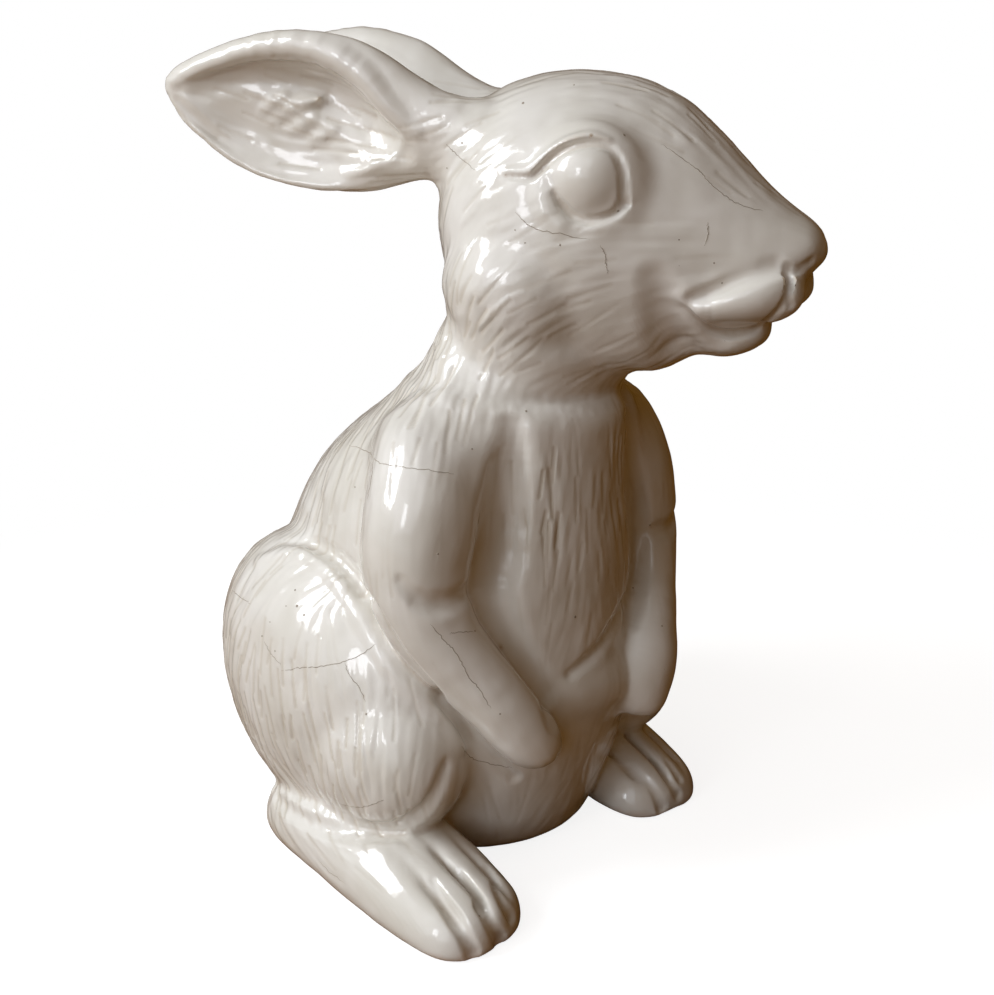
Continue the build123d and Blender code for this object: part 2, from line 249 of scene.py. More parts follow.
def smooth_path(points, steps=4):
    """More points on a smooth line through the given ones."""
    points = np.asarray(points, float)
    ends = np.vstack((2 * points[0] - points[1], points, 2 * points[-1] - points[-2]))
    path = []
    for a, b, c, d in zip(ends[:-3], ends[1:-2], ends[2:-1], ends[3:]):
        for t in np.arange(steps) / steps:
            path.append(0.5 * (
                2 * b + (c - a) * t + (2 * a - 5 * b + 4 * c - d) * t**2
                + (3 * b - a - 3 * c + d) * t**3
            ))
    path.append(points[-1])
    return np.array(path)


def node_mesh(node):
    """A casting's corners in millimetres and its triangles."""
    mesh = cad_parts[node].data
    mesh.calc_loop_triangles()
    corners = np.empty(len(mesh.vertices) * 3, np.float32)
    mesh.vertices.foreach_get("co", corners)
    triangles = np.empty(len(mesh.loop_triangles) * 3, np.int32)
    mesh.loop_triangles.foreach_get("vertices", triangles)
    return corners.reshape(-1, 3) / METRE, triangles.reshape(-1, 3)


def distances(clay, corners, triangles=None, quads=None):
    """The distance to a closed mesh at every place of the grid, within the band."""
    faces = {}
    if triangles is not None and len(triangles):
        faces["triangles"] = triangles.astype(np.uint32)
    if quads is not None and len(quads):
        faces["quads"] = quads.astype(np.uint32)
    level = vdb.FloatGrid.createLevelSetFromPolygons(
        ((corners - clay.low) / clay.voxel).astype(np.float32),
        transform=vdb.createLinearTransform(voxelSize=1.0),
        halfWidth=BAND / clay.voxel,
        **faces,
    )
    values = np.empty(clay.count, np.float32)
    level.copyToArray(values)
    return values * clay.voxel


def between_walls(solid, axis):
    """The places with clay on both sides of them along an axis."""
    before = np.maximum.accumulate(solid, axis=axis)
    after = np.flip(np.maximum.accumulate(np.flip(solid, axis), axis=axis), axis)
    return before & after


def casting_distances(clay, node, hollow):
    """The distance to a casting's outer skin. A hollow casting is filled first."""
    values = distances(clay, *node_mesh(node))
    if not hollow:
        return values
    solid = values < 0
    filled = between_walls(solid, 0) & between_walls(solid, 1)
    values[filled & ~solid] = -2 * clay.voxel
    grid = vdb.FloatGrid(BAND)
    grid.copyFromArray(values)
    corners, triangles, quads = grid.convertToPolygons(isovalue=0.0)
    return distances(clay, corners * clay.voxel + clay.low, triangles, quads)


def soften(values, size):
    """Rounds what is sharper than a size, given in steps of the grid."""
    reach = int(math.ceil(2 * size))
    steps = np.arange(-reach, reach + 1)
    weights = np.exp(-0.5 * (steps / size) ** 2)
    weights /= weights.sum()
    for axis in range(3):
        padding = [(0, 0)] * 3
        padding[axis] = (reach, reach)
        padded = np.pad(values, padding, mode="edge")
        values = np.zeros_like(values)
        for step, weight in zip(steps, weights):
            part = [slice(None)] * 3
            start = reach + step
            part[axis] = slice(start, start + values.shape[axis])
            values += np.float32(weight) * padded[tuple(part)]
    return values


def ease(values, start, end):
    """Rises smoothly from 0 at start to 1 at end."""
    share = np.clip((values - start) / (end - start), 0.0, 1.0)
    return share * share * (3.0 - 2.0 * share)


NODES = tuple(sorted(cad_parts))
HOLLOW_NODES = ("body_casting", "head_casting")
EAR_NODES = ("ear_right", "ear_left")
# Fillets where castings meet. None stands for the shoulder's, which grows between two heights
NECK_FILLET = 7.0
JOINT_FILLETS = {
    "foreleg_right": None, "foreleg_left": None, "hind_foot_right": 3.0, "hind_foot_left": 3.0,
    "tail": 5.0, "ear_right": 8.0, "ear_left": 8.0,
}
ARMPIT_FILLET = 4.0
SHOULDER_FILLET_MORE = 9.0
ARMPIT_HEIGHT = 125.0
SHOULDER_HEIGHT = 165.0


def join_castings():
    """All castings luted together: the clay, and the distance to each casting by itself."""
    low, high = (np.array(corner) / METRE for corner in cad_box)
    clay = Clay(low, high, JOINING_VOXEL)
    each = {}
    for node in NODES:
        values = casting_distances(clay, node, node in HOLLOW_NODES)
        size = SOFTEN_EAR if node in EAR_NODES else SOFTEN_LIMB
        size = SOFTEN_CASTING if node in HOLLOW_NODES else size
        each[node] = soften(values, size / clay.voxel)
    height = clay.low[2] + clay.voxel * np.arange(clay.count[2], dtype=np.float32)
    shoulder = ease(height, ARMPIT_HEIGHT, SHOULDER_HEIGHT)
    shoulder = ARMPIT_FILLET + SHOULDER_FILLET_MORE * shoulder
    clay.field = soft_least(each["body_casting"], each["head_casting"], NECK_FILLET)
    for node, blend in JOINT_FILLETS.items():
        clay.field = soft_least(clay.field, each[node], shoulder if blend is None else blend)
    return clay, each


joined, casting_fields = join_castings()
clay = joined.finer(SCULPTING_VOXEL)


# Features that the photograph shows are given as its pixels and are laid on the clay
def polygons(clay):
    """The clay's skin: its corners in millimetres and its faces of four corners."""
    grid = vdb.FloatGrid(BAND)
    grid.copyFromArray(clay.field)
    corners, _, quads = grid.convertToPolygons(isovalue=0.0)
    return corners * clay.voxel + clay.low, quads


def skin_tree(clay):
    """The skin in a form that rays can be cast at."""
    corners, quads = polygons(clay)
    return BVHTree.FromPolygons(corners.tolist(), quads.tolist())


def sight_line(pixel):
    """The direction in which the camera sees a pixel of the photograph."""
    across = (pixel[0] - PHOTO_WIDTH / 2) / VIEW_FOCUS_PX
    upward = (PHOTO_HEIGHT / 2 - pixel[1]) / VIEW_FOCUS_PX
    return unit(across * VIEW_RIGHT + upward * VIEW_UP - VIEW_BACK)


def on_skin(tree, pixel):
    """The place on the skin that a pixel shows and the way out of it, or nothing."""
    place, normal, _, _ = tree.ray_cast(Vector(VIEW_EYE), Vector(sight_line(pixel)))
    if place is None:
        return None, None
    normal = np.array(normal)
    if normal @ VIEW_BACK < 0:
        normal = -normal
    return np.array(place), normal


def path_on_skin(tree, pixels, lift=0.0):
    """A smooth path on the skin through the pixels, lifted off it along its normals."""
    path = []
    for pixel in smooth_path(pixels):
        place, normal = on_skin(tree, pixel)
        if place is not None:
            path.append(place + lift * normal)
    return np.array(path)


def across_head(points):
    """The same points on the other side of the head."""
    local = (points - SKULL) @ HEAD_AXES.T
    local[:, 0] = -local[:, 0]
    return SKULL + local @ HEAD_AXES


# The far ear springs a little higher, and its hollows are that much shallower
FAR_EAR_RISE = 3.5
FAR_EAR_SPARE = 3.5


def across_ears(points):
    """The same points on the far ear."""
    return across_head(points) + FAR_EAR_RISE * HEAD_UP


def across_body(points):
    """The same points on the other side of the body."""
    return points * np.array((-1.0, 1.0, 1.0))


def lay(action, tree, table, across=None, across_lift=0.0):
    """Adds or carves a rope for each row: radii along it, lift off the skin, blend and pixels."""
    for radii, lift, blend, pixels in table:
        path = path_on_skin(tree, pixels, lift)
        shares = np.linspace(0.0, len(radii) - 1.0, len(path))
        along = np.interp(shares, np.arange(len(radii)), radii)
        action(rope(path, along), blend)
        if across is not None:
            path = path_on_skin(tree, pixels, lift + across_lift)
            action(rope(across(path), along), blend)


# Eyes: a ball in a filled socket, which stands a little out of the lids
EYE_PLACE = (28.6, 12.4, 25.2)
EYE_RADII = (11.2, 13.7, 13.7)
EYE_FILLET = 0.8
LID_RADII = (7.7, 17.0, 17.0)
LID_FILLET = 7.0


def set_eyes(clay):
    """Fills both sockets with the flesh of the lids and sets the balls in it."""
    aside, up, ahead = EYE_PLACE
    for side in (-1, 1):
        place = head(side * aside, up, ahead)
        clay.add(egg(place, LID_RADII), LID_FILLET)
        clay.add(egg(place, EYE_RADII), EYE_FILLET)


FACE_SWELLS = (
    ((2.0, 3.2, 3.2, 2.0), -2.3, 4.0, ((541, 178), (543, 194), (549, 208), (560, 221))),
    ((0.9, 1.6, 2.0, 2.2, 1.9, 1.2), -0.9, 2.0,
     ((505, 171), (528, 171), (541, 161), (555, 149), (572, 140), (590, 136), (606, 140))),
    ((3.6, 6.5, 5.6, 5.0), -3.6, 6.0, ((690, 300), (712, 304), (745, 300), (765, 290), (780, 281))),
    ((2.6, 4.5, 3.5), -2.6, 4.0, ((695, 338), (725, 345), (748, 341), (768, 331))),
)
FACE_GROOVES = (
    ((0.5, 1.2, 1.5, 1.6, 1.6, 1.5, 1.6, 1.7), 0.3, 1.0,
     ((500, 175), (528, 178), (539, 171), (551, 159), (564, 150), (578, 145), (592, 143),
      (606, 146), (616, 154), (622, 168), (624, 186), (624, 204))),
    ((1.8, 1.5, 1.4, 0.6), 0.3, 1.0,
     ((624, 203), (616, 213), (602, 219), (586, 220), (572, 214), (561, 203), (554, 192))),
    ((0.5, 1.3, 1.5, 1.5, 1.3, 1.5), 0.3, 1.2,
     ((661, 306), (673, 308), (686, 312), (699, 322), (714, 331), (734, 334), (753, 330),
      (768, 321), (779, 309), (786, 297), (790, 281))),
    ((1.4, 1.3, 1.2), 0.3, 1.2, ((789, 270), (787, 281), (787, 293), (791, 306))),
    ((1.5, 1.3, 0.9), 0.5, 1.4, ((812, 262), (803, 268), (795, 270), (788, 266))),
    ((2.6, 2.4, 2.0), 2.0, 3.0, ((776, 266), (757, 273), (741, 279), (714, 290), (692, 298))),
    ((2.8, 5.4, 6.4), 3.3, 6.0, ((655, 278), (660, 294), (663, 312), (668, 330), (676, 346))),
)
JOWL_GROOVES = (
    ((3.0, 5.0, 6.0, 6.0, 4.5), 2.6, 9.0,
     ((446, 338), (458, 354), (474, 368), (500, 380), (530, 389), (562, 395), (596, 396),
      (624, 391), (646, 383))),
)


def sculpt_face(clay, tree):
    """The lids, the pads of the muzzle, the mouth, the nose and the jowls."""
    lay(clay.add, tree, FACE_SWELLS, across_head)
    lay(clay.carve, tree, FACE_GROOVES, across_head)
    lay(clay.carve, tree, JOWL_GROOVES, across_head)


# Ears: a broad rolled rim along the top, a soft hollow under it and a thin lip below
EAR_HOLLOWS = (
    ((2.0, 4.0, 6.0, 8.0, 8.0, 5.0), 2.6, 4.0,
     ((179, 90), (198, 87), (220, 82), (244, 78), (268, 79), (292, 83), (314, 90), (334, 100),
      (352, 113), (368, 127), (384, 141), (398, 152))),
    ((1.5, 2.6, 3.0, 2.6, 1.6), 0.9, 1.4,
     ((180, 88), (200, 81), (224, 75), (252, 70), (282, 68), (308, 72), (330, 82))),
)
EAR_RIMS = (
    ((1.6, 3.0, 3.6, 4.6, 5.2, 5.0, 4.2, 3.0), -2.6, 1.8,
     ((172, 78), (184, 70), (205, 61), (230, 54), (256, 50), (282, 48), (306, 50), (328, 57),
      (348, 70), (366, 86), (384, 103), (401, 119), (416, 132))),
)
EAR_RIPPLES = (
    ((0.8, 1.8, 0.8), -1.5, 3.0, ((262, 112), (272, 104), (283, 98))),
    ((0.8, 2.4, 1.0), -2.1, 3.0, ((270, 124), (285, 112), (301, 104), (316, 101))),
    ((0.8, 2.0, 0.8), -1.8, 3.0, ((290, 131), (302, 125), (312, 119))),
    ((0.8, 1.6, 0.7), -1.45, 3.0, ((312, 141), (322, 136), (332, 131))),
)
EAR_LIP = (
    (174, 98), (184, 116), (198, 131), (212, 144), (228, 156), (246, 166), (264, 174), (284, 180),
    (304, 184), (326, 186), (350, 185), (374, 179),
)
EAR_PLANE = ((205, 108), (345, 165), (330, 120))
# The lip's two ropes: radius, how far above its line and how far into the ear
EAR_LIP_ROPES = ((2.7, 3.0, 2.8), (2.0, 0.0, 1.6))
EAR_LIP_FILLET = 1.6


def sculpt_ears(clay, tree):
    """The hollows, the rims and the lower lips of both ears."""
    lay(clay.carve, tree, EAR_HOLLOWS, across_ears, FAR_EAR_SPARE)
    lay(clay.add, tree, EAR_RIMS, across_ears)
    lay(clay.add, tree, EAR_RIPPLES, across_ears)
    # The lip lies in the plane of the ear, also where it stands out past the bare ear
    first, second, third = (on_skin(tree, pixel)[0] for pixel in EAR_PLANE)
    out = unit(np.cross(second - first, third - first))
    out = out if out @ VIEW_BACK > 0 else -out
    lip = []
    for pixel in smooth_path(EAR_LIP):
        way = sight_line(pixel)
        lip.append(VIEW_EYE + way * ((first - VIEW_EYE) @ out / (way @ out)))
    for radius, above, inset in EAR_LIP_ROPES:
        path = np.array(lip) + above * VIEW_UP - inset * out
        for points in (path, across_ears(path)):
            clay.add(rope(points, radius), EAR_LIP_FILLET)


# Limbs: the near side's features are repeated on the far side unless they are the far limb's own
HAUNCH_RIDGES = (
    ((1.4, 2.4, 3.2, 3.2, 2.8, 2.2, 1.4), -1.4, 4.0,
     ((258, 560), (282, 552), (304, 553), (326, 568), (347, 592), (364, 620), (380, 648),
      (402, 678), (428, 704), (450, 726), (462, 748))),
)
LIMB_GROOVES = (
    ((0.8, 2.2, 2.4, 2.4, 2.2, 1.6), 0.6, 2.6,
     ((284, 541), (308, 543), (332, 554), (354, 576), (372, 606), (388, 634), (410, 664),
      (436, 692), (458, 718), (476, 740), (494, 760), (514, 778))),
    ((0.8, 2.4, 3.2, 2.6, 1.0), 0.9, 4.0,
     ((401, 583), (412, 595), (425, 603), (440, 605), (456, 601), (470, 593), (483, 584))),
    ((3.2, 6.5, 8.0, 8.0, 6.0, 4.2, 3.4, 1.8), 2.4, 5.0,
     ((513, 428), (512, 460), (508, 500), (503, 540), (496, 578), (500, 610), (514, 638),
      (530, 668), (543, 698), (552, 722))),
    ((1.2, 2.4, 2.8, 2.6, 1.6), 0.5, 3.0,
     ((274, 798), (298, 817), (328, 829), (362, 834), (396, 829), (422, 813), (438, 790),
      (446, 766))),
)
FAR_ARM_SWELLS = (
    ((7.0, 11.0, 12.0, 10.0, 7.0), -6.5, 7.0,
     ((656, 596), (649, 626), (640, 652), (627, 672), (611, 685), (595, 690), (581, 688))),
)
FAR_ARM_GROOVES = (
    ((1.2, 2.8, 3.2, 3.2, 2.8, 2.0, 0.6), 0.5, 3.4,
     ((629, 416), (635, 452), (638, 492), (640, 532), (637, 568), (627, 602), (611, 632),
      (593, 655), (570, 674))),
)
TOE_GROOVES = (
    ((1.0, 2.2, 2.8), 0.7, 1.6, ((433, 880), (447, 907), (463, 933), (474, 954))),
    ((1.0, 2.2, 2.8), 0.7, 1.6, ((460, 872), (477, 900), (493, 927), (501, 941))),
    ((0.9, 1.8, 2.4), 0.7, 1.6, ((487, 868), (500, 896), (512, 917))),
    ((0.9, 1.8, 2.4), 0.7, 1.6, ((630, 767), (647, 781), (658, 797), (663, 809))),
    ((0.9, 1.6, 2.2), 0.7, 1.6, ((650, 762), (669, 780), (679, 795))),
    ((0.8, 1.2, 1.8), 0.7, 1.6, ((668, 762), (680, 779))),
)


def sculpt_limbs(clay, tree):
    """The haunches' ridges, the folds round the arms, the far paw and the toes."""
    lay(clay.add, tree, HAUNCH_RIDGES, across_body)
    lay(clay.carve, tree, LIMB_GROOVES, across_body)
    lay(clay.add, tree, FAR_ARM_SWELLS)
    lay(clay.carve, tree, FAR_ARM_GROOVES)
    lay(clay.carve, tree, TOE_GROOVES)


VENT_RADIUS = 12.0
VENT_BACK = 20.0
VENT_DEPTH = 30.0
VENT_FILLET = 1.5


def sculpt_base(clay):
    """The vent hole in the base, which opens into the dark hollow of the body."""
    centre = np.array((0.0, VENT_BACK, 0.0))
    shaft = np.array((centre - (0.0, 0.0, VENT_RADIUS), centre + (0.0, 0.0, VENT_DEPTH)))
    clay.carve(rope(shaft, VENT_RADIUS), VENT_FILLET)


set_eyes(clay)
bare_tree = skin_tree(clay)
sculpt_face(clay, bare_tree)
sculpt_ears(clay, bare_tree)
sculpt_limbs(clay, bare_tree)
sculpt_base(clay)

# Hair: the way that it runs, as start and end pixels in the photograph, and how deep it is cut
BODY_HAIR = (
    (440, 352, 424, 392, 1.0), (470, 372, 462, 412, 0.8), (500, 400, 494, 430, 0.2),
    (400, 420, 388, 455, 0.5), (430, 420, 424, 460, 0.5), (450, 450, 443, 490, 0.2),
    (360, 470, 352, 510, 0.5), (325, 505, 316, 545, 0.6), (345, 530, 342, 575, 0.6),
    (290, 552, 262, 575, 0.5), (325, 575, 296, 585, 0.3), (262, 590, 240, 625, 0.6),
    (290, 610, 280, 645, 0.2), (350, 620, 350, 660, 0.1), (238, 650, 236, 690, 0.9),
    (265, 650, 262, 690, 0.6), (290, 660, 292, 700, 0.9), (340, 670, 346, 710, 0.3),
    (252, 715, 262, 750, 1.0), (290, 715, 296, 755, 1.0), (330, 720, 334, 760, 0.8),
    (370, 730, 370, 765, 0.8), (405, 720, 400, 755, 0.3), (280, 770, 296, 798, 0.8),
    (330, 785, 338, 812, 0.8), (380, 785, 384, 812, 0.6), (425, 750, 418, 780, 0.2),
    (538, 450, 538, 490, 1.0), (560, 460, 560, 500, 1.0), (545, 520, 542, 560, 1.0),
    (560, 560, 554, 600, 0.4), (600, 450, 600, 490, 0.2), (540, 408, 540, 430, 0.1),
    (600, 408, 600, 430, 0.1), (590, 540, 584, 580, 0.3), (575, 640, 562, 670, 0.3),
    (512, 470, 508, 520, 0.1), (505, 560, 505, 590, 0.1), (655, 470, 658, 510, 0.3),
    (658, 560, 656, 600, 0.1), (650, 640, 638, 660, 0.0), (600, 680, 592, 690, 0.0),
    (430, 560, 430, 600, 0.0), (460, 500, 456, 540, 0.0), (470, 440, 462, 480, 0.1),
    (400, 520, 396, 560, 0.1), (385, 590, 392, 625, 0.4), (420, 650, 440, 680, 0.2),
    (450, 650, 465, 680, 0.0), (500, 690, 515, 715, 0.1), (520, 750, 532, 764, 0.1),
    (560, 740, 555, 775, 0.3), (480, 790, 486, 820, 0.3), (560, 790, 545, 812, 0.2),
    (290, 835, 310, 862, 0.5), (330, 870, 360, 892, 0.2), (400, 880, 420, 905, 0.0),
    (440, 920, 455, 940, 0.0), (640, 740, 655, 755, 0.0),
)
HEAD_HAIR = (
    (720, 140, 690, 112, 0.7), (690, 130, 660, 104, 0.5), (650, 88, 622, 82, 0.7),
    (600, 84, 572, 84, 0.4), (560, 90, 535, 98, 0.3), (760, 190, 735, 165, 0.4),
    (650, 130, 630, 120, 0.1), (680, 190, 660, 180, 0.1), (730, 225, 705, 222, 0.2),
    (690, 225, 665, 224, 0.25), (660, 245, 630, 244, 0.3), (560, 118, 535, 126, 0.0),
    (480, 120, 456, 134, 0.5), (470, 150, 452, 172, 0.5), (455, 195, 446, 222, 0.4),
    (520, 205, 492, 216, 0.15), (500, 240, 480, 262, 0.3), (462, 262, 454, 290, 0.5),
    (540, 260, 510, 270, 0.2), (600, 250, 570, 254, 0.3), (640, 265, 612, 268, 0.3),
    (470, 300, 462, 325, 0.7), (500, 320, 482, 340, 0.7), (540, 340, 516, 356, 0.5),
    (570, 310, 545, 322, 0.5), (600, 330, 575, 345, 0.2), (640, 300, 615, 308, 0.1),
    (600, 372, 575, 382, 0.3), (560, 375, 535, 382, 0.3), (655, 352, 632, 364, 0.3),
    (690, 345, 668, 354, 0.4), (740, 300, 715, 305, 0.0), (760, 240, 740, 240, 0.05),
    (600, 180, 590, 190, 0.0), (420, 148, 400, 148, 0.3), (440, 118, 424, 124, 0.5),
)
EAR_HAIR = (
    (380, 130, 345, 112, 0.4), (385, 155, 340, 150, 0.6), (330, 125, 292, 106, 0.6),
    (330, 160, 285, 155, 0.5), (280, 112, 242, 98, 0.5), (265, 140, 228, 124, 0.4),
    (300, 42, 262, 46, 0.05), (230, 58, 205, 66, 0.05), (225, 112, 198, 100, 0.4),
    (360, 66, 340, 50, 0.05), (400, 100, 384, 82, 0.05),
)
GUIDE_REACH = 8.0


def hair_guides(tree):
    """Where the hair lies and which way it runs, on both sides of the rabbit."""
    places, ways, depths = [], [], []
    for table, across in (
        (BODY_HAIR, across_body), (HEAD_HAIR, across_head), (EAR_HAIR, across_ears),
    ):
        for x0, y0, x1, y1, depth in table:
            start, _ = on_skin(tree, (x0, y0))
            end, _ = on_skin(tree, (x1, y1))
            for pair in (np.array((start, end)), across(np.array((start, end)))):
                places.append(pair.mean(axis=0))
                ways.append(unit(pair[1] - pair[0]))
                depths.append(depth)
    return np.array(places), np.array(ways), np.array(depths)


def comb(points, guides):
    """The run of the hair at points and how deep it is cut there, from the nearest guides."""
    places, ways, depths = guides
    run = np.zeros((len(points), 3), np.float32)
    depth = np.zeros(len(points), np.float32)
    total = np.zeros(len(points), np.float32)
    for place, way, cut in zip(places.astype(np.float32), ways.astype(np.float32), depths):
        gap = np.sum((points - place) ** 2, axis=1)
        weight = 1.0 / (gap + GUIDE_REACH**2) ** 2
        run += weight[:, None] * way
        depth += weight * np.float32(cut)
        total += weight
    run /= np.linalg.norm(run, axis=1, keepdims=True) + 1e-9
    return run, depth / total


CHANCE_SIZE = 64
chance = np.random.default_rng(11).standard_normal((CHANCE_SIZE,) * 3).astype(np.float32).ravel()


def uneven(points, cell):
    """Smooth random heights of about one, alike over a cell's size."""
    local = points / np.float32(cell)
    first = np.floor(local).astype(np.int64)
    share = (local - first).astype(np.float32)
    share = share * share * (3.0 - 2.0 * share)
    total = np.zeros(len(points), np.float32)
    for corner in np.ndindex(2, 2, 2):
        i, j, k = ((first + corner) % CHANCE_SIZE).T
        weight = np.prod(np.where(corner, share, 1.0 - share), axis=1)
        total += weight * chance[(i * CHANCE_SIZE + j) * CHANCE_SIZE + k]
    return total


def combed(points, run, cell, reach, steps=15):
    """Uneven heights drawn out along the hair, as a comb leaves them in soft clay."""
    total = np.zeros(len(points), np.float32)
    for share in np.linspace(-1.0, 1.0, steps):
        heights = uneven(points + np.float32(share * reach) * run, cell)
        total += np.float32(1.0 - share * share) * heights
    return total / total.std()


def make_mesh(name, corners, face_sets):
    """A mesh from corners in millimetres and sets of faces."""
    mesh = bpy.data.meshes.new(name)
    sizes = np.concatenate([np.full(len(faces), faces.shape[1]) for faces in face_sets])
    loops = np.concatenate([faces.ravel() for faces in face_sets])
    mesh.vertices.add(len(corners))
    mesh.vertices.foreach_set("co", (corners * METRE).astype(np.float32).ravel())
    mesh.loops.add(len(loops))
    mesh.loops.foreach_set("vertex_index", loops.astype(np.int32))
    mesh.polygons.add(len(sizes))
    starts = np.concatenate(([0], np.cumsum(sizes)[:-1]))
    mesh.polygons.foreach_set("loop_start", starts.astype(np.int32))
    mesh.update(calc_edges=True)
    mesh.shade_smooth()
    return mesh


def make_object(name, mesh):
    """An object at the origin that carries a mesh."""
    item = bpy.data.objects.new(name, mesh)
    bpy.context.collection.objects.link(item)
    return item


def face_normals(corners, quads):
    """The way out of each face, at the length of the face's area."""
    across = corners[quads[:, 2]] - corners[quads[:, 0]]
    along = corners[quads[:, 3]] - corners[quads[:, 1]]
    return np.cross(across, along) / 2


def outward(corners, quads):
    """The faces turned so that their normals point out of the clay."""
    normals = face_normals(corners, quads)
    volume = np.sum(normals * corners[quads[:, 0]])
    return quads if volume > 0 else quads[:, ::-1]


def corner_normals(corners, quads):
    """The way out at each corner."""
    faces = face_normals(corners, quads)
    normals = np.zeros_like(corners)
    for axis in range(3):
        for k in range(4):
            normals[:, axis] += np.bincount(quads[:, k], faces[:, axis], len(corners))
    return normals / (np.linalg.norm(normals, axis=1, keepdims=True) + 1e-12)


def set_attribute(mesh, name, kind, values):
    """Stores one value for each corner of a mesh."""
    attribute = mesh.attributes.new(name, kind, "POINT")
    key = "vector" if kind == "FLOAT_VECTOR" else "value"
    attribute.data.foreach_set(key, np.ascontiguousarray(values, np.float32).ravel())


# Materials
def linear(hex_colour):
    """The linear colour of an sRGB hex value."""
    channels = [int(hex_colour[i:i + 2], 16) / 255 for i in (1, 3, 5)]
    return tuple(
        c / 12.92 if c <= 0.04045 else ((c + 0.055) / 1.055) ** 2.4 for c in channels
    ) + (1.0,)


def add_node(tree, kind, settings=None, **inputs):
    """A node with its settings, values and links.

    A key such as i2 is a socket's number, and a node given as a value is its first output.
    """
    node = tree.nodes.new(kind)
    for key, value in (settings or {}).items():
        setattr(node, key, value)
    for key, value in inputs.items():
        by_number = key[0] == "i" and key[1:].isdigit()
        socket = node.inputs[int(key[1:]) if by_number else key.replace("_", " ")]
        if isinstance(value, bpy.types.Node):
            value = value.outputs[0]
        if isinstance(value, bpy.types.NodeSocket):
            tree.links.new(value, socket)
        else:
            socket.default_value = linear(value) if str(value).startswith("#") else value
    return node


def new_material(name):
    """An empty material, its tree and the places on the piece."""
    material = bpy.data.materials.new(name)
    material.use_nodes = True
    tree = material.node_tree
    tree.nodes.clear()
    return material, tree, tree.nodes.new("ShaderNodeTexCoord").outputs["Object"]


def glaze_material():
    """White earthenware under tin-white glaze, dipped and fired: glossy, pooling and painted shade
    in the cuts.
    """
    material, tree, place = new_material("tin_white_glaze_on_earthenware")
    rgb = {"data_type": "RGBA"}
    # The dip ran unevenly: clouds of cream and white 20 to 40 mm across
    cloud = add_node(tree, "ShaderNodeTexNoise", Vector=place, Scale=34.0, Detail=3.0)
    white = add_node(tree, "ShaderNodeMapRange", Value=cloud, i1=0.35, i2=0.65)
    # Where the clay bends outwards the glaze drew thin and the buff body shows through
    bend = add_node(tree, "ShaderNodeAttribute", {"attribute_name": "bend"}).outputs["Fac"]
    thin = add_node(tree, "ShaderNodeMapRange", Value=bend, i1=0.22, i2=0.9, i4=0.5)
    # In creases and cuts the glaze pools thick and warm, and the darkening there is partly painted
    # shade
    pooled_glaze_and_crease_shade = add_node(tree, "ShaderNodeMapRange", Value=bend, i1=-0.10, i2=-0.60, i4=0.8)
    # Along the fur strokes the glaze is darker: partly glaze pooling in the grooves, partly painted
    # shade
    cut = add_node(tree, "ShaderNodeAttribute", {"attribute_name": "cut"}).outputs["Fac"]
    filled = add_node(tree, "ShaderNodeMapRange", Value=cut, i1=0.0, i2=0.6, i4=0.45)
    # Pinkish tan above the sole and the base, where the foot was wiped clear of glaze
    height = add_node(tree, "ShaderNodeSeparateXYZ", Vector=place).outputs["Z"]
    patchy = add_node(tree, "ShaderNodeTexNoise", Vector=place, Scale=110.0, Detail=2.0)
    line = add_node(
        tree, "ShaderNodeMath", {"operation": "MULTIPLY_ADD"}, i0=patchy, i1=0.012, i2=-0.002,
    )
    wiped = add_node(tree, "ShaderNodeMapRange", Value=height, i2=line, i3=0.55, i4=0.0)
    # The flat underside was wiped bare: unglazed biscuit, matt and pale buff
    bare = add_node(tree, "ShaderNodeMapRange", Value=height, i1=0.0004, i2=0.0012, i3=1.0, i4=0.0)
    grain = add_node(tree, "ShaderNodeTexNoise", Vector=place, Scale=1400.0, Detail=3.0)
    biscuit = add_node(tree, "ShaderNodeMix", rgb, Factor=grain, i6="#C9AE8C", i7="#DCC7A8")
    # Tiny dark specks of iron, 0.3 to 0.6 mm wide and a few centimetres apart
    speck = add_node(
        tree, "ShaderNodeTexVoronoi", {"feature": "F1"}, Vector=place, Scale=75.0, Randomness=1.0,
    )
    keep = add_node(
        tree, "ShaderNodeMapRange", Value=speck.outputs["Color"], i1=0.60, i2=0.95, i3=0.0,
        i4=0.032,
    )
    dot = add_node(
        tree, "ShaderNodeMath", {"operation": "LESS_THAN"}, i0=speck.outputs["Distance"], i1=keep,
    )
    colour = "#DEDAD0"
    # Layers over the glaze tone; the darkening of the creases and the fur strokes is partly painted
    # shade
    for amount, over in (
        (white, "#EBE8E1"), (thin, "#D2BC98"), (pooled_glaze_and_crease_shade, "#A48C6C"), (filled, "#C9BFAD"),
        (wiped, "#C39C80"), (bare, biscuit.outputs[2]), (dot, "#6E5A44"),
    ):
        colour = add_node(tree, "ShaderNodeMix", rgb, Factor=amount, i6=colour, i7=over).outputs[2]
    # Fired glaze levels itself but keeps an orange peel of 4 to 9 mm
    swell = add_node(tree, "ShaderNodeTexNoise", Vector=place, Scale=150.0, Detail=1.5)
    peel = add_node(tree, "ShaderNodeBump", Height=swell, Strength=0.22, Distance=0.0006)
    rough = add_node(tree, "ShaderNodeMapRange", Value=bare, i3=0.10, i4=0.75)
    shine = add_node(tree, "ShaderNodeMapRange", Value=bare, i3=1.0, i4=0.0)
    shader = add_node(
        tree, "ShaderNodeBsdfPrincipled", Base_Color=colour, Roughness=0.42, IOR=1.45,
        Coat_IOR=1.54, Coat_Weight=shine, Coat_Roughness=rough, Normal=peel, Coat_Normal=peel,
    )
    add_node(tree, "ShaderNodeOutputMaterial", Surface=shader)
    return material


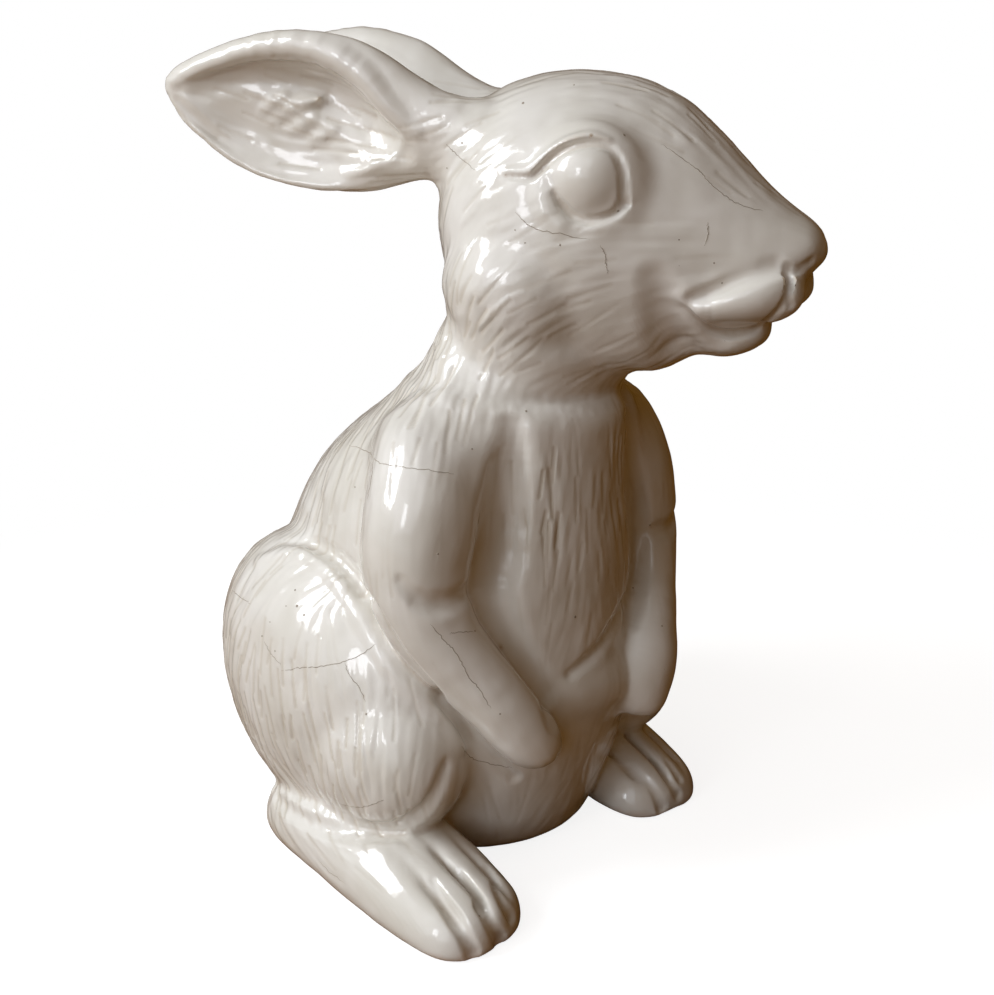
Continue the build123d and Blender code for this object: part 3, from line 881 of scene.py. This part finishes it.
def craze_material():
    """A craze crack in the glaze, fine and stained grey-brown by age, matt in its depth."""
    material, tree, place = new_material("stained_craze_crack")
    stain = add_node(tree, "ShaderNodeTexNoise", Vector=place, Scale=260.0, Detail=2.0)
    colour = add_node(
        tree, "ShaderNodeMix", {"data_type": "RGBA"}, Factor=stain, i6="#857A6A", i7="#BDB2A2",
    )
    shader = add_node(
        tree, "ShaderNodeBsdfPrincipled", Base_Color=colour.outputs[2], Roughness=0.7,
    )
    add_node(tree, "ShaderNodeOutputMaterial", Surface=shader)
    return material


glaze = glaze_material()
craze = craze_material()


# Geometry nodes: fur strokes cut into the clay, in six steps each and within 9 degrees of the comb
STROKE_STEPS = 6
STROKE_WAVER = 0.16


def carved_fur():
    """A node group that cuts short strokes along a skin's "comb", as deep as its "fur" says."""
    group = bpy.data.node_groups.new("carved_fur", "GeometryNodeTree")
    face = group.interface
    face.new_socket("Geometry", in_out="INPUT", socket_type="NodeSocketGeometry")
    for name, kind in (
        ("Spacing", "Float"), ("Density", "Float"), ("Length", "Float"), ("Width", "Float"),
        ("Depth", "Float"), ("Seed", "Int"), ("Material", "Material"),
    ):
        face.new_socket(name, in_out="INPUT", socket_type=f"NodeSocket{kind}")
    face.new_socket("Geometry", in_out="OUTPUT", socket_type="NodeSocketGeometry")
    given = group.nodes.new("NodeGroupInput").outputs
    number = {"data_type": "FLOAT"}
    multiply = {"operation": "MULTIPLY"}
    mask = add_node(
        group, "GeometryNodeInputNamedAttribute", number, Name="fur"
    ).outputs["Attribute"]
    # Strokes start at scattered points and follow the comb, with a little waver
    scatter = add_node(
        group, "GeometryNodeDistributePointsOnFaces", {"distribute_method": "POISSON"},
        Mesh=given["Geometry"], Distance_Min=given["Spacing"], Density_Max=given["Density"],
        Density_Factor=mask, Seed=given["Seed"],
    )
    run = add_node(
        group, "GeometryNodeInputNamedAttribute", {"data_type": "FLOAT_VECTOR"}, Name="comb"
    ).outputs["Attribute"]
    upright = add_node(
        group, "FunctionNodeAlignRotationToVector", {"axis": "Z"},
        Vector=scatter.outputs["Normal"],
    )
    aligned = add_node(
        group, "FunctionNodeAlignRotationToVector", {"axis": "X", "pivot_axis": "Z"},
        Rotation=upright, Vector=run,
    )
    waver = add_node(
        group, "FunctionNodeRandomValue", number, i2=-STROKE_WAVER, i3=STROKE_WAVER,
        Seed=given["Seed"],
    )
    spin = add_node(group, "ShaderNodeCombineXYZ", Z=waver.outputs[1])
    turned = add_node(
        group, "FunctionNodeRotateRotation", {"rotation_space": "LOCAL"}, Rotation=aligned,
        Rotate_By=spin,
    )
    half = add_node(group, "ShaderNodeMath", multiply, i0=given["Length"], i1=-0.5)
    start = add_node(group, "ShaderNodeCombineXYZ", X=half)
    step = add_node(group, "ShaderNodeMath", multiply, i0=given["Length"], i1=1 / STROKE_STEPS)
    offset = add_node(group, "ShaderNodeCombineXYZ", X=step)
    line = add_node(
        group, "GeometryNodeMeshLine", {"mode": "OFFSET"}, Count=STROKE_STEPS + 1,
        Start_Location=start, Offset=offset,
    )
    size = add_node(
        group, "FunctionNodeRandomValue", number, i2=0.5, i3=1.4, Seed=given["Seed"],
    )
    strokes = add_node(
        group, "GeometryNodeInstanceOnPoints", Points=scatter, Instance=line, Rotation=turned,
        Scale=size.outputs[1],
    )
    real = add_node(group, "GeometryNodeRealizeInstances", Geometry=strokes)
    # They are laid on the skin, and the skin is pressed in near them
    nearest = add_node(
        group, "GeometryNodeProximity", {"target_element": "FACES"}, Geometry=given["Geometry"],
    )
    laid = add_node(group, "GeometryNodeSetPosition", Geometry=real, Position=nearest)
    gap = add_node(group, "GeometryNodeProximity", {"target_element": "EDGES"}, Geometry=laid)
    cut = add_node(
        group, "ShaderNodeMapRange", {"interpolation_type": "SMOOTHERSTEP"},
        Value=gap.outputs["Distance"], i1=0.0, i2=given["Width"], i3=1.0, i4=0.0,
    )
    share = add_node(group, "ShaderNodeMath", multiply, i0=cut, i1=mask)
    noted = add_node(
        group, "GeometryNodeStoreNamedAttribute", number, Geometry=given["Geometry"],
        Name="cut", Value=share,
    )
    inward = add_node(group, "ShaderNodeMath", multiply, i0=share, i1=given["Depth"])
    negative = add_node(group, "ShaderNodeMath", multiply, i0=inward, i1=-1.0)
    push = add_node(
        group, "ShaderNodeVectorMath", {"operation": "SCALE"},
        i0=add_node(group, "GeometryNodeInputNormal"), Scale=negative,
    )
    pressed = add_node(group, "GeometryNodeSetPosition", Geometry=noted, Offset=push)
    whole = add_node(group, "GeometryNodeRealizeInstances", Geometry=pressed)
    dressed = add_node(
        group, "GeometryNodeSetMaterial", Geometry=whole, Material=given["Material"],
    )
    add_node(group, "NodeGroupOutput", Geometry=dressed)
    return group


def bake(item):
    """Replaces an object's mesh by what its modifiers make of it."""
    graph = bpy.context.evaluated_depsgraph_get()
    mesh = bpy.data.meshes.new_from_object(item.evaluated_get(graph), depsgraph=graph)
    item.modifiers.clear()
    item.data = mesh


def press_fur(item, group, **values):
    """Runs the fur group on a skin with the given inputs."""
    modifier = item.modifiers.new("fur", "NODES")
    modifier.node_group = group
    for socket in group.interface.items_tree:
        if socket.in_out == "INPUT" and socket.name in values:
            modifier[socket.identifier] = values[socket.name]


# The skin of the whole rabbit: hand-smoothed lumps, ripples, combed waves and carved strokes
UNEVEN_MOST = 2.0
HAND_LUMP_SIZE = 16.0
HAND_LUMP_DEPTH = 0.22
RIPPLE_SIZE = 5.5
RIPPLE_DEPTH = 0.07
COMBED_CELL = 2.1
COMBED_REACH = 9.0
COMBED_DEPTH = 0.20
COMBED_LEAST = -2.2
COMBED_MOST = 1.6
SOLE_BARE_HEIGHT = 3.0
SOLE_FURRED_HEIGHT = 8.0

corners, quads = polygons(clay)
quads = outward(corners, quads)
normals = corner_normals(corners, quads)
run, fur = comb(corners, hair_guides(bare_tree))
fur = np.clip(fur, 0.0, 1.0) * ease(corners[:, 2], SOLE_BARE_HEIGHT, SOLE_FURRED_HEIGHT)
waves = np.clip(combed(corners, run, COMBED_CELL, COMBED_REACH), COMBED_LEAST, COMBED_MOST)
lumps = np.clip(uneven(corners, HAND_LUMP_SIZE), -UNEVEN_MOST, UNEVEN_MOST)
ripples = np.clip(uneven(corners, RIPPLE_SIZE), -UNEVEN_MOST, UNEVEN_MOST)
relief = COMBED_DEPTH * fur * (waves - 1.0) + HAND_LUMP_DEPTH * (lumps - 1.0)
corners = corners + (relief + RIPPLE_DEPTH * ripples)[:, None] * normals
corners[:, 2] = np.maximum(corners[:, 2], 0.0)
skin = make_object("skin", make_mesh("skin", corners, [quads]))
set_attribute(skin.data, "comb", "FLOAT_VECTOR", run)
set_attribute(skin.data, "fur", "FLOAT", fur)
press_fur(
    skin, carved_fur(), Spacing=0.0042, Density=30000.0, Length=0.015, Width=0.0012,
    Depth=0.00042, Seed=3, Material=glaze,
)
bake(skin)


def read_values(items, key, width):
    """The numbers that a list of mesh items holds under a key."""
    values = np.empty(len(items) * width, np.float32)
    items.foreach_get(key, values)
    return values.reshape(-1, width) if width > 1 else values


corners = read_values(skin.data.vertices, "co", 3) / METRE
cut = read_values(skin.data.attributes["cut"].data, "value", 1)
normals = corner_normals(corners, quads)
bpy.data.objects.remove(skin)


def bending(corners, normals, quads, passes=2):
    """How strongly the skin bends at each corner, per millimetre: outwards more than zero."""
    starts = quads.ravel()
    ends = np.roll(quads, -1, axis=1).ravel()
    way = corners[ends] - corners[starts]
    turn = np.sum((normals[ends] - normals[starts]) * way, axis=1)
    bend = turn / (np.sum(way * way, axis=1) + 1e-9)
    size = len(corners)
    count = np.maximum(np.bincount(starts, minlength=size) + np.bincount(ends, minlength=size), 1)
    values = (np.bincount(starts, bend, size) + np.bincount(ends, bend, size)) / count
    for _ in range(passes):
        before = np.bincount(starts, values[ends], size)
        values = (before + np.bincount(ends, values[starts], size)) / count
    return values.astype(np.float32)


bend = bending(corners, normals, quads)


def nearest_node(clay, fields, points):
    """The number of the casting that each point belongs to."""
    index = np.rint((points - clay.low) / clay.voxel).astype(int)
    index = tuple(np.clip(index[:, i], 0, clay.count[i] - 1) for i in range(3))
    return np.argmin(np.stack([fields[node][index] for node in NODES]), axis=0)


def open_loops(quads, count):
    """The loops of open edges round a set of faces, each in the order of the faces' edges."""
    starts = quads.ravel().astype(np.int64)
    ends = np.roll(quads, -1, axis=1).ravel().astype(np.int64)
    is_open = ~np.isin(starts * count + ends, ends * count + starts)
    following = {}
    for start, end in zip(starts[is_open].tolist(), ends[is_open].tolist()):
        following.setdefault(start, []).append(end)
    loops = []
    while following:
        first = next(iter(following))
        loop = [first]
        while True:
            ends_here = following[loop[-1]]
            end = ends_here.pop()
            if not ends_here:
                del following[loop[-1]]
            if end == first:
                break
            loop.append(end)
        loops.append(loop)
    return loops


JOINT_WALL = 3.0


def make_piece(name, quads):
    """One casting, or a part of its skin, as a closed mesh with a wall across each joint."""
    loops = open_loops(quads, len(corners))
    used = np.unique(quads)
    index = np.full(len(corners), -1)
    index[used] = np.arange(len(used))
    sources = [used]
    places = [corners[used]]
    ways = [normals[used]]
    count = len(used)
    walls = []
    fans = []
    for loop in loops:
        inner = corners[loop] - JOINT_WALL * normals[loop]
        places += [inner, inner.mean(axis=0)[None]]
        ways += [normals[loop], np.array(((0.0, 0.0, 1.0),))]
        sources += [loop, loop[:1]]
        ring = index[loop]
        sunk = count + np.arange(len(loop))
        walls.append(np.stack((np.roll(ring, -1), ring, sunk, np.roll(sunk, -1)), axis=1))
        middle = np.full(len(loop), count + len(loop))
        fans.append(np.stack((np.roll(sunk, -1), sunk, middle), axis=1))
        count += len(loop) + 1
    faces = [np.concatenate([index[quads]] + walls)] + ([np.concatenate(fans)] if fans else [])
    mesh = make_mesh(name, np.concatenate(places), faces)
    mesh.normals_split_custom_set_from_vertices(np.concatenate(ways).tolist())
    sources = np.concatenate(sources)
    set_attribute(mesh, "bend", "FLOAT", bend[sources])
    set_attribute(mesh, "cut", "FLOAT", cut[sources])
    mesh.materials.append(glaze)
    return make_object(name, mesh)


def belongs(piece, node=None):
    """The piece moves with the one body and may stand for a casting, whose part it hides."""
    if node:
        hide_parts(node)
    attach(piece, "root")


SHOULDER_LINE = 96.0
middles = corners[quads].mean(axis=1)
owner = nearest_node(joined, casting_fields, middles)
aside = (middles - SKULL) @ HEAD_LEFT
SPLITS = {
    "body_casting": (
        ("shoulders", middles[:, 2] >= SHOULDER_LINE),
        ("haunch_right", (middles[:, 2] < SHOULDER_LINE) & (middles[:, 0] < 0)),
        ("haunch_left", (middles[:, 2] < SHOULDER_LINE) & (middles[:, 0] >= 0)),
    ),
    "head_casting": (("right", aside < 0), ("left", aside >= 0)),
}
for number, node in enumerate(NODES):
    for part, mask in SPLITS.get(node, (("", np.full(len(quads), True)),)):
        piece = make_piece(f"glazed_{node}_{part}".rstrip("_"), quads[(owner == number) & mask])
        belongs(piece, node)


# Flaws of the glaze: craze cracks and pinholes, laid on the finished skin
CRACK_RADIUS = 0.13
CRACKS = (
    ((446, 144), (454, 152), (463, 160), (475, 170)),
    ((661, 144), (684, 160), (700, 172), (711, 184), (728, 198), (741, 205), (763, 211)),
    ((600, 245), (605, 255), (606, 264), (608, 273)),
    ((264, 641), (272, 655), (281, 665)),
    ((281, 671), (300, 668), (324, 666), (345, 661), (362, 654), (376, 644)),
    ((345, 663), (350, 676), (358, 686), (366, 702)),
    ((232, 590), (240, 597), (251, 604)),
    ((349, 445), (368, 452), (378, 462), (403, 467), (428, 470), (454, 474)),
    ((374, 454), (371, 480), (367, 500)),
    ((430, 624), (444, 640), (457, 655), (468, 676), (480, 690), (491, 709)),
    ((449, 634), (460, 632), (474, 632)),
    ((515, 212), (533, 228), (556, 233), (590, 240)),
    ((707, 222), (708, 234), (704, 246)),
    ((461, 746), (472, 758), (490, 764), (512, 768)),
    ((339, 804), (362, 807), (384, 800)),
    ((318, 860), (330, 872), (345, 884)),
)
PINHOLES = (
    ((523, 103), 0.55), ((574, 85), 0.35), ((624, 135), 0.6), ((560, 245), 0.4),
    ((525, 243), 0.3), ((515, 230), 0.3), ((462, 143), 0.35), ((447, 168), 0.35),
    ((714, 263), 0.35), ((722, 283), 0.35), ((295, 590), 0.45), ((297, 606), 0.6),
    ((304, 615), 0.5), ((286, 606), 0.35), ((270, 622), 0.3), ((262, 636), 0.4),
    ((275, 651), 0.4), ((355, 487), 0.4), ((526, 411), 0.5), ((472, 449), 0.35),
    ((438, 554), 0.4), ((366, 714), 0.45), ((575, 617), 0.6), ((633, 588), 0.4),
    ((662, 626), 0.4), ((475, 631), 0.35), ((281, 782), 0.35), ((294, 785), 0.35),
    ((479, 916), 0.4), ((500, 714), 0.35), ((650, 525), 0.4), ((618, 211), 0.45),
)
CRACK_WAVER_PX = 0.45
CRACK_END_SHARE = 0.25
CRACK_GROWTH = 0.225
# A pinhole's rings: the height over the skin in millimetres and the share of its radius
PINHOLE_RINGS = ((-0.3, 0.3), (-0.1, 1.0), (0.05, 0.9), (0.12, 0.3))
TUBE_SIDES = 6


def closed_tube(path, radii, aside, above, first):
    """A closed tube along a path: its corners, from the given number on, walls and lids."""
    turns = np.linspace(0.0, 2.0 * math.pi, TUBE_SIDES, endpoint=False)[None, :, None]
    ring = aside[:, None] * np.cos(turns) + above[:, None] * np.sin(turns)
    places = path[:, None] + radii[:, None, None] * ring
    number = first + np.arange(len(path) * TUBE_SIDES).reshape(len(path), TUBE_SIDES)
    after = np.roll(number, -1, axis=1)
    walls = np.stack((number[:-1], after[:-1], after[1:], number[1:]), axis=-1)
    lids = [
        (row[0], row[i + 1], row[i + 2])
        for row in (number[0, ::-1], number[-1]) for i in range(TUBE_SIDES - 2)
    ]
    return places.reshape(-1, 3), walls.reshape(-1, 4), np.array(lids)


def crack(tree, pixels, jitter):
    """The path, radii and two ways across of a crack that wavers along its pixels."""
    pixels = smooth_path(pixels, 8)
    pixels[1:-1] += jitter.normal(0.0, CRACK_WAVER_PX, (len(pixels) - 2, 2))
    path = np.array([on_skin(tree, pixel)[0] for pixel in pixels])
    steps = np.gradient(path, axis=0)
    steps /= np.linalg.norm(steps, axis=1, keepdims=True)
    aside = np.cross(steps, VIEW_BACK)
    aside /= np.linalg.norm(aside, axis=1, keepdims=True)
    from_end = np.minimum(np.arange(len(path)), np.arange(len(path))[::-1])
    radii = CRACK_RADIUS * np.minimum(1.0, CRACK_END_SHARE + CRACK_GROWTH * from_end)
    return path, radii, aside, np.cross(aside, steps)


def pinhole(tree, pixel, radius):
    """The path, radii and two ways across of a dark pit."""
    place, normal = on_skin(tree, pixel)
    heights, shares = np.array(PINHOLE_RINGS).T
    aside = unit(np.cross(normal, VIEW_RIGHT))
    path = place + np.outer(heights, normal)
    return path, radius * shares, aside[None], np.cross(normal, aside)[None]


def glaze_flaws():
    """All cracks and pinholes as one piece, half sunk in the skin."""
    tree = BVHTree.FromPolygons(corners.tolist(), quads.tolist())
    jitter = np.random.default_rng(5)
    flaws = [crack(tree, pixels, jitter) for pixels in CRACKS]
    flaws += [pinhole(tree, pixel, radius) for pixel, radius in PINHOLES]
    tubes = []
    count = 0
    for flaw in flaws:
        tubes.append(closed_tube(*flaw, count))
        count += len(tubes[-1][0])
    places, walls, lids = (np.concatenate(part) for part in zip(*tubes))
    mesh = make_mesh("glaze_flaws", places, [walls, lids])
    mesh.materials.append(craze)
    belongs(make_object("glaze_flaws", mesh))


glaze_flaws()


# Studio: a pale floor, tall window light from the upper left behind, and a warm dim room
def seen_and_unseen(tree, kind, seen, unseen):
    """Shows the camera one shader, and the object's light and reflections another."""
    ray = tree.nodes.new("ShaderNodeLightPath").outputs["Is Camera Ray"]
    mix = add_node(tree, "ShaderNodeMixShader", i0=ray, i1=unseen, i2=seen)
    add_node(tree, kind, Surface=mix)


FLOOR_HALF = 2000.0
FLOOR_FADE_START = 0.22
FLOOR_FADE_END = 0.45
PALE_WALL_WAY = (-0.80, 0.35, 0.48)


def make_floor():
    """The pale floor, which keeps the rabbit's shadow and fades to white around it."""
    ends = np.array(((-1, -1, 0), (1, -1, 0), (1, 1, 0), (-1, 1, 0.0))) * FLOOR_HALF
    mesh = make_mesh("floor", ends, [np.array(((0, 1, 2, 3),))])
    material, tree, place = new_material("pale_paper_floor")
    unseen = add_node(tree, "ShaderNodeBsdfDiffuse", Color="#7E5826")
    shadow = add_node(tree, "ShaderNodeBsdfDiffuse", Color=(0.42, 0.42, 0.42, 1.0))
    glow = add_node(tree, "ShaderNodeEmission", Strength=0.86)
    near = add_node(tree, "ShaderNodeAddShader", i0=shadow, i1=glow)
    white = add_node(tree, "ShaderNodeEmission", Strength=1.0)
    away = add_node(tree, "ShaderNodeVectorMath", {"operation": "LENGTH"}, i0=place)
    fade = add_node(
        tree, "ShaderNodeMapRange", {"interpolation_type": "SMOOTHSTEP"},
        Value=away.outputs["Value"], i1=FLOOR_FADE_START, i2=FLOOR_FADE_END,
    )
    seen = add_node(tree, "ShaderNodeMixShader", i0=fade, i1=near, i2=white)
    seen_and_unseen(tree, "ShaderNodeOutputMaterial", seen, unseen)
    mesh.materials.append(material)
    make_object("floor", mesh)


def make_room():
    """White to the camera. To the glaze, a pale wall behind on the left and brown elsewhere."""
    world = bpy.data.worlds.new("room")
    bpy.context.scene.world = world
    world.use_nodes = True
    tree = world.node_tree
    tree.nodes.clear()
    way = tree.nodes.new("ShaderNodeTexCoord").outputs["Generated"]
    toward = add_node(
        tree, "ShaderNodeVectorMath", {"operation": "DOT_PRODUCT"}, i0=way, i1=PALE_WALL_WAY,
    )
    lit = add_node(
        tree, "ShaderNodeMapRange", {"interpolation_type": "SMOOTHSTEP"},
        Value=toward.outputs["Value"], i1=0.15, i2=1.0,
    )
    colour = add_node(
        tree, "ShaderNodeMix", {"data_type": "RGBA"}, Factor=lit, i6="#664617", i7="#DADCDA",
    )
    room = add_node(tree, "ShaderNodeBackground", Color=colour.outputs[2], Strength=0.75)
    white = add_node(tree, "ShaderNodeBackground", Color=(1.0, 1.0, 1.0, 1.0), Strength=1.0)
    seen_and_unseen(tree, "ShaderNodeOutputWorld", white, room)


# Lamps: the way to each from the rabbit, its distance, width and height, watts and colour
LAMPS = (
    ("window", (-0.76, 0.38, 0.52), 1400.0, (380.0, 760.0), 10.8, "#F7FAFF"),
    ("side_window", (-0.94, -0.16, 0.30), 1500.0, (240.0, 460.0), 2.4, "#F4F7FF"),
    ("sky_fill", (-0.88, -0.20, 0.42), 1800.0, (1500.0, 1500.0), 6.4, "#F0F5FF"),
)


def make_lamps():
    """The two windows and the softer sky beside them."""
    for name, way, distance, (width, tall), power, colour in LAMPS:
        light = bpy.data.lights.new(name, "AREA")
        light.shape = "RECTANGLE"
        light.size = width * METRE
        light.size_y = tall * METRE
        light.energy = power
        light.color = linear(colour)[:3]
        lamp = bpy.data.objects.new(name, light)
        bpy.context.collection.objects.link(lamp)
        lamp.location = (VIEW_TARGET + distance * unit(way)) * METRE
        aim = Vector(VIEW_TARGET * METRE) - lamp.location
        lamp.rotation_euler = aim.to_track_quat("-Z", "Y").to_euler()


bpy.context.scene.view_settings.view_transform = "Standard"
make_floor()
make_room()
make_lamps()
